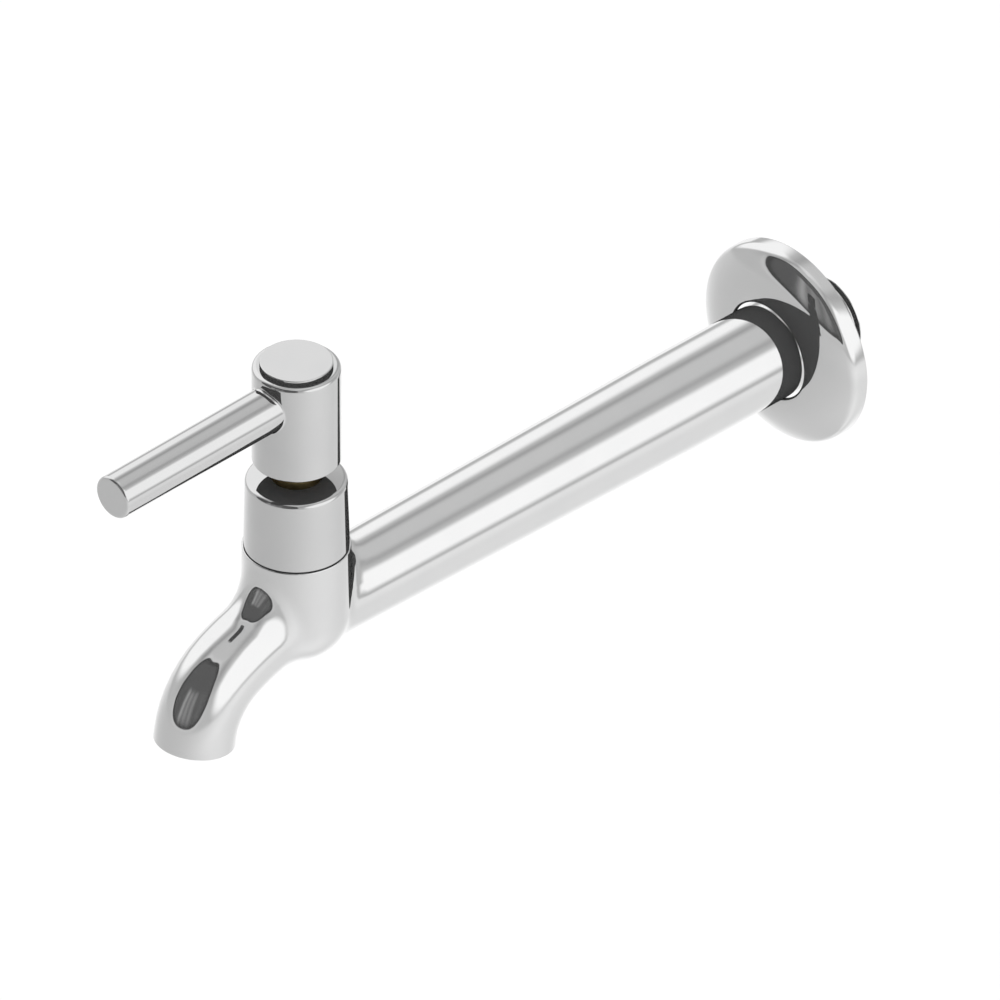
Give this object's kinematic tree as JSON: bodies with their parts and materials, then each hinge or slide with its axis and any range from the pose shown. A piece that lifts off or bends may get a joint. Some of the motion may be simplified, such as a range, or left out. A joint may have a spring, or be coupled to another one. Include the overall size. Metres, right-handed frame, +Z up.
{
  "type": "sink tap",
  "caption": "Wall-mounted sink tap with a straight tube, a downturned spout, a round wall flange and a quarter-turn lever on a ceramic-disc valve.",
  "frame": {"origin": "on the inlet's axis in the wall plane, where the flange's back meets the wall", "axes": "+Y runs into the wall along the inlet thread and the longest extent, the tap reaches out along -Y, +Z is up, +X is to the right seen from the front"},
  "size_m": [0.0628, 0.2863, 0.1194],
  "materials": {
    "chrome": "polished plate over brass",
    "brass": "machined",
    "steel": "machined stainless steel",
    "ceramic": "ground alumina ceramic",
    "rubber": "moulded",
    "foam": "closed-cell foam",
    "fibre": "pressed fibre",
    "white_plastic": "moulded",
    "grey_plastic": "moulded"
  },
  "bodies": {
    "body": {"tap_body": "chrome", "flow_straightener": "grey_plastic", "wall_flange": "chrome", "wall_seal_ring": "foam", "seat_seal": "rubber", "fixed_disc": "ceramic", "cartridge_body": "brass", "cartridge_washer": "fibre", "shroud": "chrome", "shroud_seal_ring": "rubber"},
    "handle": {"turning_disc": "ceramic", "spindle": "brass", "spindle_seal_lower": "rubber", "spindle_seal_upper": "rubber", "thrust_washer": "white_plastic", "spindle_clip": "steel", "spline_insert": "white_plastic", "lever_hub": "chrome", "screw_washer": "steel", "hub_screw": "steel", "hub_cap": "chrome", "cap_grip_ring": "rubber", "lever_stud": "steel", "lever_rod": "chrome"}
  },
  "joints": [
    {"name": "lever_turn", "type": "hinge", "parent": "body", "child": "handle", "pos_m": [0, -0.198, 0], "axis": [0, 0, 1], "range_deg": [0, 90]}
  ]
}
